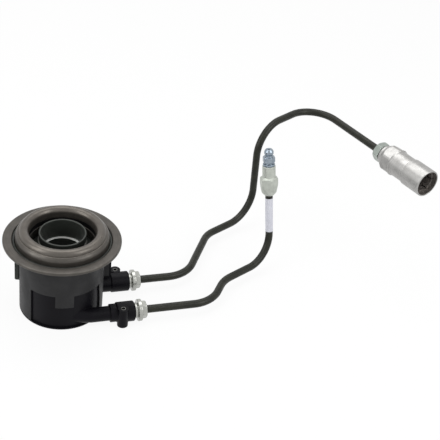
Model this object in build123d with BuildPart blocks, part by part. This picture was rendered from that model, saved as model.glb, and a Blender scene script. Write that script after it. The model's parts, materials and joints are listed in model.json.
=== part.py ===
from build123d import *
import os
from math import cos, radians, sin, sqrt

# Hydraulic clutch release bearing: a concentric slave cylinder with its two formed lines.
# The origin is on the axis of the guide bore, on the face that sits on the gearbox.
# +Z points to the clutch, +X runs along both hydraulic ports. Millimetres throughout.

os.makedirs("parts", exist_ok=True)

# Clearances
seat_gap = 0.02
running_gap = 0.05
spring_gap = 0.3
sleeve_gap = 0.3
free_gap = 0.4

# Guide sleeve, the steel tube round the input shaft
shaft_bore_radius = 15.3
guide_wall = 3.3
guide_height = 71.5
guide_mouth_wall = 1.5
guide_mouth_depth = 16.5
guide_flange_reach = 4.4
guide_flange_thickness = 2.5
guide_seal_wire = 0.95
stop_ring_setback = 6.9
stop_ring_wire = 0.7
stop_ring_sweep = 345.0
stop_groove_depth = 0.6
guide_rim_round = 0.4

# Cylinder housing, moulded in black plastic
chamber_width = 6.4
cylinder_wall = 2.4
cylinder_height = 40.0
spring_pocket_width = 3.0
skirt_wall = 1.8
skirt_height = 36.0
spring_pocket_floor = 14.0
housing_edge_round = 0.8
insert_inset = 1.0
insert_count = 3
insert_first_angle = 100.0
insert_radius = 3.3
insert_length = 7.0
insert_thread_radius = 2.1

# Hydraulic ports, both along +X
port_height = 9.0
feed_port_y = 9.5
bleed_port_y = -29.5
feed_block_length = 15.7
bleed_block_reach = 5.4
bleed_block_length = 14.8
port_block_radius = 8.35
feed_neck_radius = 7.6
bleed_neck_start = 19.0
bleed_neck_radius = 6.0
bleed_flare_radius = 7.6
bleed_flare_angle = -83.0
bleed_collar_reach = 0.4
bleed_collar_radius = 7.4
passage_radius = 1.5
bleed_passage_x = 15.5
port_edge_chamfer = 0.7
socket_radius = 5.2
socket_depth = 14.2
pin_setback = 10.2
pin_bite = 0.8
pin_radius = 2.0
pin_wall = 0.6
pin_slot = 0.9
pin_boss_radius = 4.4
pin_boss_proud = 0.05

# Anti-rotation post on the feed port and the fork that runs on it
post_reach = 4.9
post_thickness = 3.6
post_width = 5.0
post_top = 50.0
post_foot_reach = 0.5
post_foot_height = 22.0
fork_rib_thickness = 1.6
fork_bottom = 20.0
fork_top = 50.0
fork_grip = 1.5

# Piston and its seal
piston_travel = 18.0
piston_relief = 0.6
piston_land = 6.0
piston_land_taper = 1.0
piston_collar_inner_step = 2.0
piston_collar_outer_step = 1.6
piston_collar_top = 50.0
support_ring_thickness = 1.4
piston_seal_floor_gap = 1.0
piston_seal_height = 4.6
piston_seal_lip = 1.5
piston_seal_groove = 2.8
piston_seal_spread = 0.6

# Preload spring
spring_wire = 0.8
spring_turns = 6.5
spring_washer_thickness = 0.6
spring_washer_inset = 1.2

# Bearing carrier, black plastic, with two snap arms
carrier_thickness = 4.4
carrier_skirt_depth = 3.0
carrier_ledge = 1.0
arm_angles = (161.0, 73.5)
arm_width = 8.0
arm_thickness = 3.2
arm_bottom = 22.8
arm_toe_height = 1.8
arm_toe_reach = 0.9
arm_foot_bevel = 0.8
arm_root_depth = 2.0
arm_bridge_thickness = 1.9

# Dust sleeve, the grey outside cylinder
sleeve_wall = 1.0
sleeve_bottom = 2.0
sleeve_top_step = 0.4
window_top = 33.0
tab_bottom = 22.0
front_tab_angle = -93.5
rear_tab_angle = 73.5
tab_half_width = 12.5
front_window_angle = -99.0
front_window_half = 57.0
rear_window_angle = 73.5
rear_window_half = 73.5
arm_slot_gap = 0.3
arm_slot_reach = 4.0
carrier_ring_inset = 0.8

# Bearing
ball_count = 16
ball_radius = 3.2
ball_circle_reach = 3.4
race_gap = 0.2
race_floor = 1.6
race_bore_reach = 5.7
race_outer_reach = 0.8
race_shoulder_rise = 1.0
cage_rim_height = 1.1
cage_rim_inner_reach = 1.7
cage_rim_outer_reach = 1.1
cage_finger_inner_reach = 0.9
cage_finger_outer_reach = 0.8
cage_finger_drop = 1.0
cage_pocket_gap = 0.1

# Pressed bearing cup with its wide flange
cup_sheet = 1.4
cup_bore_inset = 3.5
cup_floor_width = 6.0
cup_cone_rise = 6.0
flange_width = 6.2
flange_rise = 4.0
flange_rim_depth = 2.4
flange_round = 1.2
centering_ring_inset = 0.8
centering_ring_width = 3.6
centering_ring_height = 1.2
centering_ring_sheet = 0.6
centering_ring_lap = 0.6

# Rotating contact ring, the stepped dome that the diaphragm spring runs on
contact_rise = 13.9
contact_roof_rise = 6.5
contact_lip_depth = 1.2
contact_lip_width = 2.4
bead_radius = 3.3
bead_circle_reach = 2.3
shoulder_reach = 5.2
shoulder_round = 4.4
shoulder_step = 3.5
skirt_drop = 1.2
skirt_lip = 1.3
skirt_lip_height = 1.6
groove_seal_height = 3.5
inner_seal_gap = 0.1
inner_seal_ledge = 0.5

# Hydraulic lines; a route's third number is the height above the ports
line_radius = 3.25
line_wall = 1.05
line_insertion = 9.0
feed_run_end = 109.0
feed_route = ((143.0, 64.3, 0.0), (194.2, 91.1, 0.0), (191.2, 92.5, 91.0), (258.7, 131.1, 91.0),
              (285.5, 49.1, 91.0))
feed_bends = (29.5, 29.5, 27.0, 27.0, 25.5)
bleed_run_end = 120.1
bleed_route = ((138.5, -3.0, 0.0), (188.9, 22.3, 0.0), (180.0, 39.9, 103.0))
bleed_bends = (29.5, 31.0, 25.0)
label_start = 25.2
label_end = 57.0
label_thickness = 0.2

# Line fittings, turned aluminium
spigot_length = 14.0
spigot_seal_station = 4.6
spigot_seal_wire = 0.7
spigot_point = 0.6
lead_ring_step = 1.2
lead_ring_length = 2.0
fitting_neck_radius = 5.6
fitting_neck_length = 0.8
fitting_flange_radius = 8.4
fitting_flange_length = 3.5
fitting_hex_radius = 7.6
fitting_hex_length = 4.8
fitting_hex_land = 2.0
fitting_nose_radius = 4.6
fitting_passage_radius = 1.6

# Bleeder on the end of the bleed line, stations along the riser
adapter_start = 60.2
adapter_hex_end = 78.6
adapter_hex_radius = 7.9
adapter_nose_wall = 0.75
adapter_nose_length = 7.0
adapter_shoulder_bevel = 1.6
adapter_barrel_radius = 5.4
adapter_end = 87.5
screw_thread_radius = 3.5
screw_thread_start = 74.0
screw_cone_length = 1.6
screw_collar_end = 90.1
screw_collar_radius = 5.25
screw_neck_radius = 3.4
screw_hex_start = 92.0
screw_hex_end = 97.5
screw_hex_radius = 5.5
screw_hex_bevel = 0.7
nipple_start = 99.2
nipple_radius = 3.85
nipple_end = 104.9
nipple_taper = 1.2
nipple_tip_length = 1.8
nipple_neck_length = 1.4
nipple_bore_radius = 1.1
cross_hole_station = 75.0

# Quick coupler on the end of the feed line, stations along its axis
coupler_nut_start = 1.9
coupler_nut_end = 11.3
coupler_nut_radius = 8.6
coupler_nut_bevel = 1.8
coupler_nut_bore_radius = 5.0
coupler_body_start = 9.0
coupler_rear_radius = 10.4
coupler_hex_start = 17.0
coupler_hex_end = 30.0
coupler_hex_radius = 12.0
coupler_hex_flat = 11.2
coupler_hex_turn = 30.0
coupler_hex_bevel = 1.2
coupler_edge_bevel = 1.2
coupler_barrel_radius = 11.2
coupler_seam = 45.0
coupler_end = 66.3
coupler_front_radius = 12.15
coupler_front_wall = 1.25
coupler_lip_bevel = 0.4
coupler_spigot_step = 1.3
coupler_spigot_end = 50.0
coupler_cavity_start = 24.0
coupler_cavity_radius = 6.4
coupler_retainer_wall = 2.3
coupler_retainer_start = 53.4
coupler_retainer_end = 62.0
coupler_finger_count = 6
coupler_finger_slit = 1.0
coupler_finger_depth = 6.0
coupler_finger_reach = 6.0
coupler_seal_height = 1.8
coupler_seal_inset = 0.4
valve_head_start = 43.0
valve_head_end = 46.0
valve_stem_radius = 2.6
valve_stem_end = 53.0
valve_guide_radius = 2.4
valve_seat_gap = 1.2
valve_notch_radius = 1.4
valve_notch_count = 3
valve_tip_bevel = 0.8
valve_guide_start = 33.0
valve_spring_wire = 0.5
valve_spring_turns = 4.5

# Sizes that follow from the ones above, from the shaft bore outwards
guide_radius = shaft_bore_radius + guide_wall
guide_mouth_radius = guide_radius - guide_mouth_wall
guide_flange_radius = guide_radius + guide_flange_reach
guide_ledge_height = guide_height - guide_mouth_depth
cylinder_radius = guide_radius + chamber_width
cylinder_outer_radius = cylinder_radius + cylinder_wall
pocket_outer_radius = cylinder_outer_radius + spring_pocket_width
spring_mean_radius = (cylinder_outer_radius + pocket_outer_radius) / 2
housing_radius = pocket_outer_radius + skirt_wall
sleeve_bore_radius = housing_radius + sleeve_gap
body_radius = sleeve_bore_radius + sleeve_wall
insert_circle_radius = guide_flange_radius + insert_inset + insert_radius
carrier_ring_radius = sleeve_bore_radius - carrier_ring_inset
arm_inner_radius = body_radius + free_gap
arm_outer_radius = arm_inner_radius + arm_thickness

# Along the ports
chamber_floor = port_height
chamber_radius = guide_radius + chamber_width / 2
feed_passage_x = sqrt(chamber_radius ** 2 - feed_port_y ** 2)
post_inner_x = body_radius + post_reach
post_outer_x = post_inner_x + post_thickness
post_foot_x = body_radius + post_foot_reach
fork_outer_x = post_inner_x + fork_grip
feed_block_end = post_outer_x + feed_block_length
bleed_collar_start = body_radius + bleed_collar_reach
bleed_block_start = body_radius + bleed_block_reach
bleed_block_end = bleed_block_start + bleed_block_length
pin_offset = socket_radius + pin_bite
feed_pin_x = feed_block_end - pin_setback
bleed_pin_x = bleed_block_end - pin_setback
feed_pin_y = feed_port_y + pin_offset
bleed_pin_y = bleed_port_y - pin_offset
pin_boss_top = port_height + port_block_radius + pin_boss_proud
pin_boss_bottom = port_height - port_block_radius - pin_boss_proud

# Up the cylinder
stop_ring_height = guide_height - stop_ring_setback
piston_seal_bottom = chamber_floor + piston_seal_floor_gap
support_low = piston_seal_bottom + piston_seal_height
piston_bottom = support_low + support_ring_thickness
piston_top = stop_ring_height - stop_ring_wire - spring_gap - piston_travel
piston_bore_radius = guide_radius + running_gap
piston_outer_radius = cylinder_radius - running_gap
piston_collar_inner = guide_radius + piston_collar_inner_step
piston_collar_outer = cylinder_radius - piston_collar_outer_step
carrier_bottom = piston_collar_top
carrier_top = carrier_bottom + carrier_thickness
sleeve_top = carrier_top - sleeve_top_step
spring_top = carrier_bottom - spring_washer_thickness
spring_washer_radius = sleeve_bore_radius - spring_washer_inset

# Through the bearing
cup_bore_radius = carrier_ring_radius - cup_bore_inset
cup_floor_radius = cup_bore_radius + cup_floor_width
cup_wall_radius = cup_floor_radius + cup_cone_rise
cup_wall_bore = cup_wall_radius - cup_sheet
flange_radius = cup_wall_radius + flange_width
centering_ring_inner = cup_bore_radius - centering_ring_inset
centering_ring_outer = centering_ring_inner + centering_ring_width
ball_circle_radius = cup_bore_radius + ball_circle_reach
ball_pocket_radius = ball_radius + race_gap
race_bore_radius = ball_circle_radius - race_bore_reach
race_outer_radius = ball_circle_radius + race_outer_reach
bead_circle_radius = ball_circle_radius - bead_circle_reach
contact_bore_radius = bead_circle_radius - bead_radius
shoulder_radius = ball_circle_radius + shoulder_reach
cup_floor_bottom = carrier_top + centering_ring_height
race_bottom = cup_floor_bottom + cup_sheet
ball_height = race_bottom + race_floor + ball_pocket_radius
race_top = ball_height + race_shoulder_rise
flange_top = ball_height + flange_rise
contact_height = ball_height + contact_rise
contact_roof = ball_height + contact_roof_rise
contact_lip_bottom = contact_roof - contact_lip_depth
contact_lip_outer = contact_bore_radius + contact_lip_width
shoulder_top = contact_height - shoulder_step
skirt_bottom = ball_height - skirt_drop

# Along the lines and the coupler
line_bore_radius = line_radius - line_wall
adapter_nose_radius = line_radius + adapter_nose_wall
coupler_front_bore = coupler_front_radius - coupler_front_wall
coupler_spigot_radius = coupler_front_bore - coupler_spigot_step
coupler_retainer_radius = coupler_front_bore - coupler_retainer_wall


# Frames: each one's Z is the axis of a group of pieces, and offset() goes to a station on it
port_plane = Plane(origin=(0, 0, port_height), x_dir=(0, 1, 0), z_dir=(1, 0, 0))
feed_port = Plane(origin=(feed_block_end, feed_port_y, port_height), x_dir=(0, 1, 0), z_dir=(1, 0, 0))
bleed_port = Plane(origin=(bleed_block_end, bleed_port_y, port_height), x_dir=(0, 1, 0), z_dir=(1, 0, 0))


def half_section(frame, outline):
    """A closed outline of (radius, station) points, drawn through a frame's axis."""
    drawing_plane = Plane(origin=frame.origin, x_dir=frame.x_dir, z_dir=frame.x_dir.cross(frame.z_dir))
    with BuildSketch(drawing_plane) as drawing:
        with BuildLine():
            Polyline(*outline, close=True)
        make_face()
    return drawing.sketch


def turn(frame, outline, mode=Mode.ADD):
    """Turns an outline about a frame's axis, into the open part."""
    revolve(half_section(frame, outline), axis=Axis(frame.origin, frame.z_dir), mode=mode)


def ring_outline(inner, outer, low, high):
    return ((inner, low), (outer, low), (outer, high), (inner, high))


def bevelled_outline(radius, bevel, low, high, length):
    """Half section of a bar whose two ends are turned down by a bevel over a length."""
    return ((0, low), (radius - bevel, low), (radius, low + length), (radius, high - length),
            (radius - bevel, high), (0, high))


def wedge(from_angle, to_angle):
    """Corners of a wedge from the axis, wide enough to cut the dust sleeve."""
    reach = 4 * body_radius
    start = (reach * cos(radians(from_angle)), reach * sin(radians(from_angle)))
    end = (reach * cos(radians(to_angle)), reach * sin(radians(to_angle)))
    return ((0, 0), start, end)


def spoke_plane(angle):
    """An upright plane through the axis: its X is the radius at an angle, its Y is up."""
    cosine = cos(radians(angle))
    sine = sin(radians(angle))
    return Plane(origin=(0, 0, 0), x_dir=(cosine, sine, 0), z_dir=(sine, -cosine, 0))


def finish(piece, name):
    """Labels a finished piece and writes it."""
    piece.part.label = name
    export_step(piece.part, f"parts/{name}.step")
    print(f"{name}: {piece.part.volume:.0f} cubic mm, valid {piece.part.is_valid}")


# Housing: foot rim, cylinder wall, spring skirt, ports, pin bosses and anti-rotation post
foot_height = sleeve_bottom - sleeve_gap
flare_x = (housing_radius - bleed_flare_radius) * cos(radians(bleed_flare_angle))
flare_y = (housing_radius - bleed_flare_radius) * sin(radians(bleed_flare_angle))
flare_length = sqrt((bleed_neck_start - flare_x) ** 2 + (bleed_port_y - flare_y) ** 2)
flare_slope = (bleed_flare_radius - bleed_neck_radius) / flare_length
flare_share = sqrt(1 - flare_slope ** 2)
flare = Plane(origin=(bleed_neck_start, bleed_port_y, port_height),
              z_dir=(flare_x - bleed_neck_start, flare_y - bleed_port_y, 0))
with BuildPart() as housing:
    turn(Plane.XY, ((0, 0), (body_radius, 0), (body_radius, foot_height), (housing_radius, foot_height),
                    (housing_radius, skirt_height), (0, skirt_height)))
    fillet(housing.edges().group_by(Axis.Z)[0], housing_edge_round)
    for port_y, start_x, end_x, radius in (
            (feed_port_y, feed_passage_x, post_outer_x, feed_neck_radius),
            (bleed_port_y, bleed_neck_start, bleed_collar_start, bleed_neck_radius),
            (bleed_port_y, bleed_collar_start, bleed_block_start, bleed_collar_radius)):
        with BuildSketch(port_plane.offset(start_x)):
            with Locations((port_y, 0)):
                Circle(radius)
        extrude(amount=end_x - start_x)
    with Locations((bleed_neck_start, bleed_port_y, port_height)):
        Sphere(bleed_neck_radius)
    turn(flare, ((0, -bleed_neck_radius * flare_slope),
                 (bleed_neck_radius * flare_share, -bleed_neck_radius * flare_slope),
                 (bleed_flare_radius * flare_share, flare_length - bleed_flare_radius * flare_slope),
                 (0, flare_length - bleed_flare_radius * flare_slope)))
    for port, length in ((feed_port, feed_block_length), (bleed_port, bleed_block_length)):
        turn(port, bevelled_outline(port_block_radius, port_edge_chamfer, -length, 0, port_edge_chamfer))
    with BuildSketch(Plane.XY.offset(pin_boss_bottom)):
        with Locations((feed_pin_x, feed_pin_y), (bleed_pin_x, bleed_pin_y)):
            Circle(pin_boss_radius)
    extrude(amount=pin_boss_top - pin_boss_bottom)
    with BuildSketch(Plane.XZ.offset(-feed_port_y)):
        with BuildLine():
            Polyline((post_foot_x, port_height), (post_outer_x, port_height), (post_outer_x, post_top),
                     (post_inner_x, post_top), (post_inner_x, post_foot_height),
                     (post_foot_x, port_height + feed_neck_radius), close=True)
        make_face()
    extrude(amount=post_width / 2, both=True)
    turn(Plane.XY, ring_outline(0, pocket_outer_radius, spring_pocket_floor, 2 * skirt_height),
         Mode.SUBTRACT)
    turn(Plane.XY, ring_outline(0, cylinder_outer_radius, spring_pocket_floor, cylinder_height))
    turn(Plane.XY, ring_outline(0, cylinder_radius, chamber_floor, cylinder_height), Mode.SUBTRACT)
    turn(Plane.XY, ring_outline(0, guide_radius + seat_gap, 0, chamber_floor), Mode.SUBTRACT)
    turn(Plane.XY, ring_outline(0, guide_flange_radius + seat_gap, 0, guide_flange_thickness),
         Mode.SUBTRACT)
    turn(Plane.XY, ring_outline(0, guide_radius + 2 * guide_seal_wire + 2 * seat_gap, guide_flange_thickness,
                                guide_flange_thickness + 2 * guide_seal_wire), Mode.SUBTRACT)
    for port, passage_x in ((feed_port, feed_passage_x), (bleed_port, bleed_passage_x)):
        turn(port, ring_outline(0, socket_radius, -socket_depth, 0), Mode.SUBTRACT)
        turn(port, ring_outline(0, passage_radius, passage_x - port.origin.X, 0), Mode.SUBTRACT)
    gallery_x = bleed_passage_x + passage_radius
    gallery_end = -sqrt(chamber_radius ** 2 - gallery_x ** 2)
    gallery = Plane(origin=(gallery_x, bleed_port_y, port_height), x_dir=(1, 0, 0), z_dir=(0, 1, 0))
    turn(gallery, ring_outline(0, passage_radius, 0, gallery_end - bleed_port_y), Mode.SUBTRACT)
    with BuildSketch(Plane.XY.offset(pin_boss_bottom)):
        with Locations((feed_pin_x, feed_pin_y), (bleed_pin_x, bleed_pin_y)):
            Circle(pin_radius + seat_gap)
    extrude(amount=pin_boss_top, mode=Mode.SUBTRACT)
    with BuildSketch(Plane.XY):
        with PolarLocations(insert_circle_radius, insert_count, start_angle=insert_first_angle):
            Circle(insert_radius + seat_gap)
    extrude(amount=insert_length, mode=Mode.SUBTRACT)
finish(housing, "housing")

# Threaded inserts for the fixing screws
with BuildPart() as base_inserts:
    with BuildSketch(Plane.XY):
        with PolarLocations(insert_circle_radius, insert_count, start_angle=insert_first_angle):
            Circle(insert_radius)
            Circle(insert_thread_radius, mode=Mode.SUBTRACT)
    extrude(amount=insert_length)
finish(base_inserts, "base_inserts")

# Guide sleeve: flanged foot, long seal surface, wide mouth above a ledge, groove for the stop ring
groove_half = stop_ring_wire + running_gap
stop_root = guide_radius - stop_groove_depth
with BuildPart() as guide_sleeve:
    turn(Plane.XY, (
        (shaft_bore_radius, 0), (guide_flange_radius, 0), (guide_flange_radius, guide_flange_thickness),
        (guide_radius, guide_flange_thickness), (guide_radius, stop_ring_height - groove_half),
        (stop_root, stop_ring_height - groove_half), (stop_root, stop_ring_height + groove_half),
        (guide_radius, stop_ring_height + groove_half), (guide_radius, guide_height),
        (guide_mouth_radius, guide_height), (guide_mouth_radius, guide_ledge_height),
        (shaft_bore_radius, guide_ledge_height)))
    fillet(guide_sleeve.edges().group_by(Axis.Z)[-1], guide_rim_round)
finish(guide_sleeve, "guide_sleeve")

# Static seal between the guide sleeve and the housing
with BuildPart() as sleeve_o_ring:
    with Locations((0, 0, guide_flange_thickness + guide_seal_wire)):
        Torus(guide_radius + guide_seal_wire + seat_gap, guide_seal_wire - seat_gap)
finish(sleeve_o_ring, "sleeve_o_ring")

# Open wire ring in the guide sleeve's groove, which stops the piston
with BuildPart() as stop_ring:
    with Locations((0, 0, stop_ring_height)):
        Torus(stop_root + seat_gap + stop_ring_wire, stop_ring_wire, major_angle=stop_ring_sweep)
finish(stop_ring, "stop_ring")


def roll_pin(name, pin_x, pin_y):
    """A slotted spring pin that locks a line fitting into its port."""
    with BuildPart() as pin:
        with BuildSketch(Plane.XY.offset(pin_boss_bottom)):
            with Locations((pin_x, pin_y)):
                Circle(pin_radius)
                Circle(pin_radius - pin_wall, mode=Mode.SUBTRACT)
            with Locations((pin_x - pin_radius, pin_y)):
                Rectangle(pin_radius, pin_slot, mode=Mode.SUBTRACT)
        extrude(amount=pin_boss_top - pin_boss_bottom)
    finish(pin, name)


roll_pin("feed_roll_pin", feed_pin_x, feed_pin_y)
roll_pin("bleed_roll_pin", bleed_pin_x, bleed_pin_y)

# Stations on a line fitting, from the end face of its port block
spigot_radius = socket_radius - running_gap
pin_groove_radius = pin_offset - pin_radius - running_gap
pin_groove_half = pin_radius + running_gap
seal_root = socket_radius - 2 * spigot_seal_wire
lead_ring_radius = socket_radius + lead_ring_step
neck_end = lead_ring_length + fitting_neck_length
fitting_flange_end = neck_end + fitting_flange_length
fitting_end = fitting_flange_end + fitting_hex_length


def line_fitting(name, port):
    """A turned spigot with pin and seal grooves, lead ring, flange and hexagon."""
    with BuildPart() as fitting:
        turn(port, (
            (fitting_passage_radius, -spigot_length), (spigot_radius - spigot_point, -spigot_length),
            (spigot_radius, spigot_point - spigot_length), (spigot_radius, -pin_setback - pin_groove_half),
            (pin_groove_radius, -pin_setback - pin_groove_half),
            (pin_groove_radius, -pin_setback + pin_groove_half),
            (spigot_radius, -pin_setback + pin_groove_half),
            (spigot_radius, -spigot_seal_station - spigot_seal_wire),
            (seal_root, -spigot_seal_station - spigot_seal_wire),
            (seal_root, -spigot_seal_station + spigot_seal_wire),
            (spigot_radius, -spigot_seal_station + spigot_seal_wire), (spigot_radius, 0),
            (lead_ring_radius, 0), (lead_ring_radius, lead_ring_length),
            (fitting_neck_radius, lead_ring_length), (fitting_neck_radius, neck_end),
            (fitting_flange_radius, neck_end), (fitting_flange_radius, fitting_flange_end),
            (fitting_passage_radius, fitting_flange_end)))
        with BuildSketch(port.offset(fitting_flange_end)):
            RegularPolygon(fitting_hex_radius, 6)
        extrude(amount=fitting_hex_length)
        turn(port, ((0, -spigot_length), (fitting_flange_radius, -spigot_length),
                    (fitting_flange_radius, fitting_flange_end),
                    (fitting_hex_radius, fitting_flange_end + fitting_hex_land),
                    (fitting_nose_radius, fitting_end), (0, fitting_end)), Mode.INTERSECT)
        turn(port, ring_outline(0, line_radius + seat_gap, fitting_end - line_insertion, fitting_end),
             Mode.SUBTRACT)
    finish(fitting, name)


def fitting_seal(name, port):
    """The ring that seals a fitting's spigot in its socket."""
    with BuildPart() as seal:
        with Locations(port.offset(-spigot_seal_station).location):
            Torus(socket_radius - spigot_seal_wire, spigot_seal_wire - seat_gap)
    finish(seal, name)


line_fitting("feed_fitting", feed_port)
line_fitting("bleed_fitting", bleed_port)
fitting_seal("feed_fitting_seal", feed_port)
fitting_seal("bleed_fitting_seal", bleed_port)

# Piston: relieved between two lands, with a tall collar for the carrier
relieved_radius = piston_outer_radius - piston_relief
lower_land = piston_bottom + piston_land
upper_land = piston_top - piston_land
with BuildPart() as piston:
    turn(Plane.XY, (
        (piston_bore_radius, piston_bottom), (piston_outer_radius, piston_bottom),
        (piston_outer_radius, lower_land), (relieved_radius, lower_land + piston_land_taper),
        (relieved_radius, upper_land - piston_land_taper), (piston_outer_radius, upper_land),
        (piston_outer_radius, piston_top), (piston_collar_outer, piston_top),
        (piston_collar_outer, piston_collar_top), (piston_collar_inner, piston_collar_top),
        (piston_collar_inner, piston_top), (piston_bore_radius, piston_top)))
finish(piston, "piston")

# Backing ring between the seal and the piston
with BuildPart() as seal_support_ring:
    turn(Plane.XY, ring_outline(piston_bore_radius + running_gap, piston_outer_radius - running_gap,
                                support_low, piston_bottom))
finish(seal_support_ring, "seal_support_ring")

# Piston seal: a U-shaped rubber ring, open to the fluid below
seal_heel = piston_seal_bottom + piston_seal_groove
inner_lip = piston_bore_radius + piston_seal_lip
outer_lip = piston_outer_radius - piston_seal_lip
with BuildPart() as piston_seal:
    turn(Plane.XY, (
        (piston_bore_radius, piston_seal_bottom), (inner_lip, piston_seal_bottom),
        (inner_lip + piston_seal_spread, seal_heel), (outer_lip - piston_seal_spread, seal_heel),
        (outer_lip, piston_seal_bottom), (piston_outer_radius, piston_seal_bottom),
        (piston_outer_radius, support_low), (piston_bore_radius, support_low)))
finish(piston_seal, "piston_seal")

# Preload spring, squeezed between the pocket floor and the washer under the carrier
def coil_spring(name, frame, low, high, turns, mean_radius, wire):
    """A wire coil round a frame's axis that fills the space between two stations."""
    base = low + wire + seat_gap
    height = high - wire - seat_gap - base
    with BuildPart() as spring:
        with BuildLine():
            coil = Helix(height / turns, height, mean_radius, center=frame.offset(base).origin,
                         direction=frame.z_dir)
        with BuildSketch(Plane(origin=coil @ 0, z_dir=coil % 0)):
            Circle(wire)
        sweep(is_frenet=True)
    finish(spring, name)


coil_spring("preload_spring", Plane.XY, spring_pocket_floor, spring_top, spring_turns,
            spring_mean_radius, spring_wire)

with BuildPart() as spring_washer:
    turn(Plane.XY, ring_outline(cylinder_outer_radius + free_gap, spring_washer_radius,
                                spring_top, carrier_bottom))
finish(spring_washer, "spring_washer")

# Bearing carrier: ring over the piston's collar, with two snap arms outside the dust sleeve
skirt_low = carrier_bottom - carrier_skirt_depth
ledge_top = carrier_bottom + carrier_ledge
bridge_bottom = carrier_top - arm_bridge_thickness
arm_root = carrier_ring_radius - arm_root_depth
toe_radius = body_radius - arm_toe_reach
toe_top = arm_bottom + arm_toe_height
with BuildPart() as bearing_carrier:
    turn(Plane.XY, (
        (piston_collar_inner, carrier_bottom), (piston_collar_outer + seat_gap, carrier_bottom),
        (piston_collar_outer + seat_gap, skirt_low), (cylinder_radius, skirt_low),
        (cylinder_radius, carrier_bottom), (sleeve_bore_radius - seat_gap, carrier_bottom),
        (sleeve_bore_radius - seat_gap, ledge_top), (carrier_ring_radius, ledge_top),
        (carrier_ring_radius, carrier_top), (piston_collar_inner, carrier_top)))
    for angle in arm_angles:
        with BuildSketch(spoke_plane(angle)):
            with BuildLine():
                Polyline((arm_root, carrier_top), (arm_outer_radius, carrier_top),
                         (arm_outer_radius, arm_bottom + arm_foot_bevel),
                         (arm_outer_radius - arm_foot_bevel, arm_bottom), (toe_radius, arm_bottom),
                         (toe_radius, toe_top), (arm_inner_radius, toe_top),
                         (arm_inner_radius, bridge_bottom), (arm_root, bridge_bottom), close=True)
            make_face()
        extrude(amount=arm_width / 2, both=True)
finish(bearing_carrier, "bearing_carrier")

# Dust sleeve: windows, short tabs, slots for the snap arms, fork for the anti-rotation post
fork_offset = (post_width + fork_rib_thickness) / 2 + arm_slot_gap
with BuildPart() as dust_sleeve:
    turn(Plane.XY, (
        (sleeve_bore_radius, sleeve_bottom), (body_radius, sleeve_bottom), (body_radius, sleeve_top),
        (carrier_ring_radius + seat_gap, sleeve_top), (carrier_ring_radius + seat_gap, ledge_top),
        (sleeve_bore_radius, ledge_top)))
    for tab_angle, window_angle, window_half in (
            (front_tab_angle, front_window_angle, front_window_half),
            (rear_tab_angle, rear_window_angle, rear_window_half)):
        for side in (-1, 1):
            with BuildSketch(Plane.XY):
                Polygon(*wedge(tab_angle + side * tab_half_width, window_angle + side * window_half),
                        align=None)
            extrude(amount=window_top, mode=Mode.SUBTRACT)
        with BuildSketch(Plane.XY):
            Polygon(*wedge(window_angle - window_half, window_angle + window_half), align=None)
        extrude(amount=tab_bottom, mode=Mode.SUBTRACT)
    for angle in arm_angles:
        for slot_low, slot_high in ((bridge_bottom - arm_slot_gap, carrier_top),
                                    (arm_bottom - arm_slot_gap, toe_top + arm_slot_gap)):
            with BuildSketch(spoke_plane(angle)):
                with Locations((body_radius, (slot_low + slot_high) / 2)):
                    Rectangle(2 * arm_slot_reach, slot_high - slot_low)
            extrude(amount=arm_width / 2 + arm_slot_gap, both=True, mode=Mode.SUBTRACT)
    with BuildSketch(port_plane):
        with Locations((bleed_port_y, 0)):
            Circle(bleed_neck_radius + free_gap)
        with Locations((bleed_port_y, -port_height / 2)):
            Rectangle(2 * (bleed_neck_radius + free_gap), port_height)
    extrude(amount=2 * body_radius, mode=Mode.SUBTRACT)
    for side in (-1, 1):
        rib_y = feed_port_y + side * fork_offset
        rib_near = sqrt(sleeve_bore_radius ** 2 - (rib_y - fork_rib_thickness / 2) ** 2)
        rib_far = sqrt(body_radius ** 2 - (rib_y + fork_rib_thickness / 2) ** 2)
        rib_x = (rib_near + rib_far) / 2
        with BuildSketch(Plane.XY.offset(fork_bottom)):
            with Locations(((rib_x + fork_outer_x) / 2, rib_y)):
                Rectangle(fork_outer_x - rib_x, fork_rib_thickness)
        extrude(amount=fork_top - fork_bottom)
finish(dust_sleeve, "dust_sleeve")

# Conical spring washer that lets the bearing find its centre
with BuildPart() as centering_spring:
    turn(Plane.XY, (
        (centering_ring_inner, carrier_top), (centering_ring_inner + centering_ring_lap, carrier_top),
        (centering_ring_outer, cup_floor_bottom - centering_ring_sheet),
        (centering_ring_outer, cup_floor_bottom),
        (centering_ring_outer - centering_ring_lap, cup_floor_bottom),
        (centering_ring_inner, carrier_top + centering_ring_sheet)))
finish(centering_spring, "centering_spring")

# Bearing cup: pressed floor, cone, wall and the wide flange with its turned-down rim
cone_top = cup_floor_bottom + cup_cone_rise
cone_offset = cup_sheet * (sqrt(2) - 1)
flange_under = flange_top - cup_sheet
with BuildPart() as bearing_cup:
    turn(Plane.XY, (
        (cup_bore_radius, cup_floor_bottom), (cup_floor_radius, cup_floor_bottom),
        (cup_wall_radius, cone_top), (cup_wall_radius, flange_under),
        (flange_radius - cup_sheet, flange_under),
        (flange_radius - cup_sheet, flange_top - flange_rim_depth),
        (flange_radius, flange_top - flange_rim_depth), (flange_radius, flange_top),
        (cup_wall_bore, flange_top), (cup_wall_bore, cone_top + cone_offset),
        (cup_floor_radius - cone_offset, race_bottom), (cup_bore_radius, race_bottom)))
    fillet(bearing_cup.edges().group_by(Axis.Z)[-1], flange_round)
finish(bearing_cup, "bearing_cup")

# Fixed race under the balls
with BuildPart() as inner_race:
    with BuildSketch(Plane.XZ):
        with BuildLine():
            Polyline(*ring_outline(race_bore_radius, race_outer_radius, race_bottom, race_top), close=True)
        make_face()
        with Locations((ball_circle_radius, ball_height)):
            Circle(ball_pocket_radius, mode=Mode.SUBTRACT)
    revolve(axis=Axis.Z)
finish(inner_race, "inner_race")

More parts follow.
